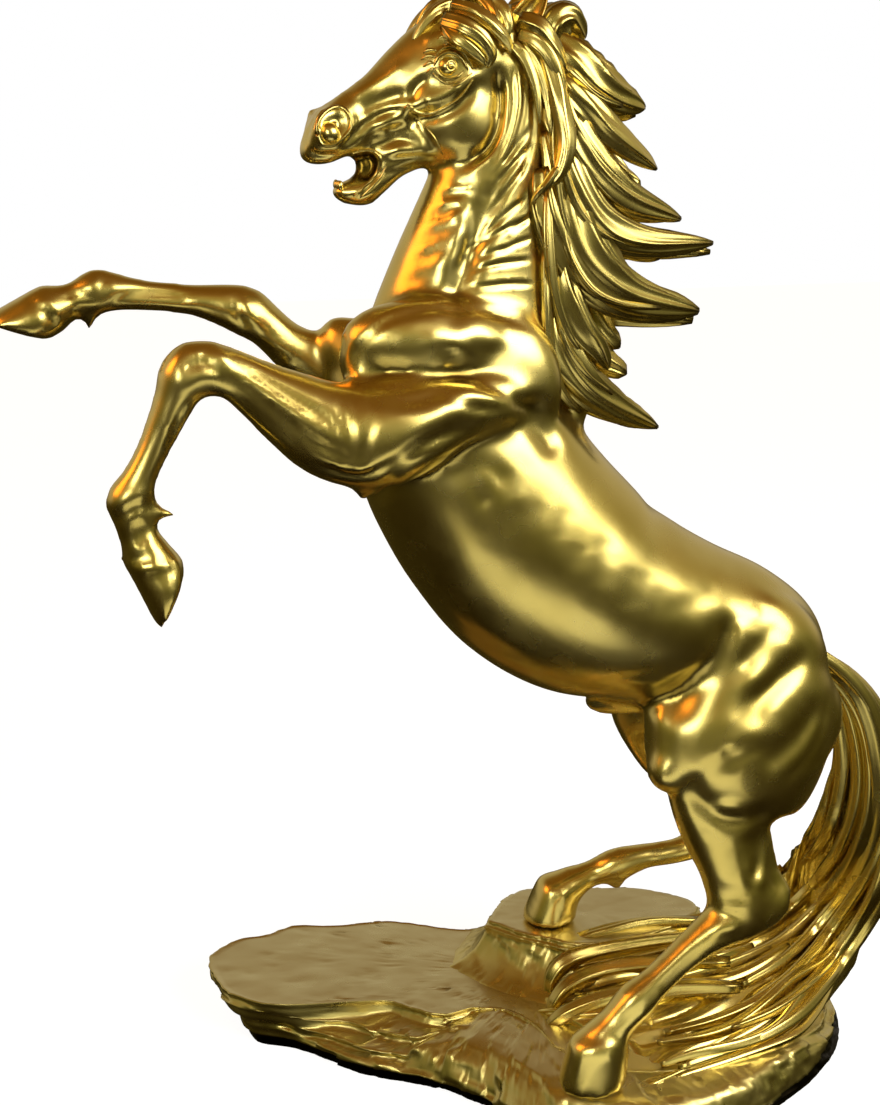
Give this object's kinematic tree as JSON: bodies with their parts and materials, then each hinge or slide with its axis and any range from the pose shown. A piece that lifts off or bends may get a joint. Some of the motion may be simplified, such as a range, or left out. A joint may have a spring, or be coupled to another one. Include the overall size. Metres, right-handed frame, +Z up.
{
  "type": "rearing horse sculpture",
  "caption": "Gold resin horse rearing on its hind legs, with a swept mane and a tail that runs onto a layered rock base, cast in one piece and standing on its flat underside.",
  "frame": {"origin": "on the flat underside of the rock base, under the middle of the horse's stance", "axes": "+Z up; +X towards the tail, so the horse faces -X; +Y towards the horse's right side, so its left side is the near side at -Y"},
  "size_m": [0.8604, 0.4053, 1.017],
  "materials": {
    "gold_resin": "metallic gold lacquer over cast resin, glossy, darker in the recesses, black-brown band round the foot of the rock"
  },
  "bodies": {
    "root": {"horse_sculpture": "gold_resin"}
  },
  "joints": []
}
